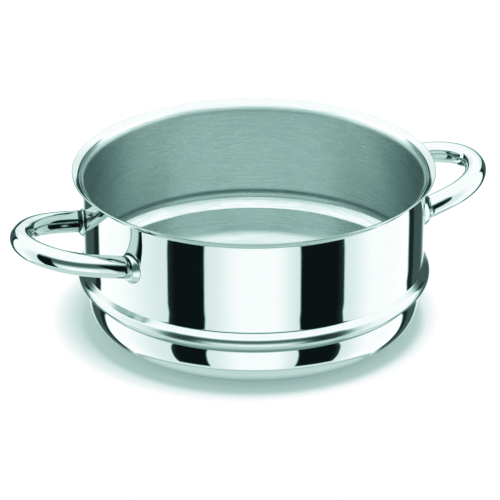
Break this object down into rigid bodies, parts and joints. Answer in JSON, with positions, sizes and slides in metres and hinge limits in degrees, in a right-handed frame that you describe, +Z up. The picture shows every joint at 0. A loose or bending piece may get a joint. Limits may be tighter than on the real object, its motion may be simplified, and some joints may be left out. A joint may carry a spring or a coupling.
{
  "type": "stepped milk pan with loop handles",
  "caption": "Round stainless pan with a flared pouring lip, a bead low on the wall that seats it in the rim of another pot, and a welded tubular loop handle on each side.",
  "frame": {"origin": "centre of the flat underside of the base", "axes": "+Z up along the pan's axis, +X through the middle of the right handle, so +Y points to the back when the pan is seen from the front with a handle on each side"},
  "size_m": [0.3022, 0.2134, 0.0977],
  "materials": {
    "pan_steel": "drawn stainless sheet, mirror polished outside and on the lip, satin inside with fine lines round the wall",
    "handle_steel": "mirror polished stainless tube",
    "foot_steel": "mirror polished stainless"
  },
  "bodies": {
    "root": {"pan_body": "pan_steel", "left_handle_tube": "handle_steel", "right_handle_tube": "handle_steel", "left_front_foot": "foot_steel", "left_rear_foot": "foot_steel", "right_front_foot": "foot_steel", "right_rear_foot": "foot_steel"}
  },
  "joints": []
}
